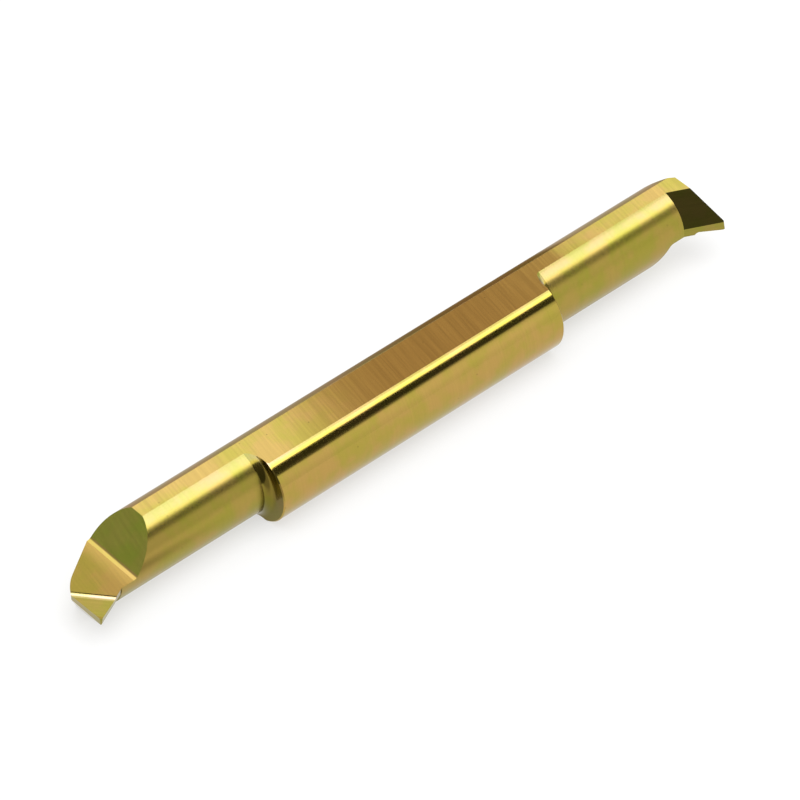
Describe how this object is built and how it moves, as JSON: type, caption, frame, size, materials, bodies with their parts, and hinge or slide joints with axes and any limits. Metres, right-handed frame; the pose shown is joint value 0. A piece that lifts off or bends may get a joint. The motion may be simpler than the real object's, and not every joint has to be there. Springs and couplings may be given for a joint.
{
  "type": "boring bar",
  "caption": "Double-ended solid-carbide boring bar: a round shank with clamping flats, an eccentric neck and a ground tip with chip-breaker at each end",
  "frame": {"origin": "on the shank's axis, halfway along the bar", "axes": "+X along the bar towards the end whose rake face is down, +Z square to the upper clamping flat, -Y towards both noses"},
  "size_m": [0.074, 0.008, 0.0072],
  "materials": {
    "coated_carbide": "ground, thin gold-coloured hard coating"
  },
  "bodies": {
    "root": {"boring_bar": "coated_carbide"}
  },
  "joints": []
}
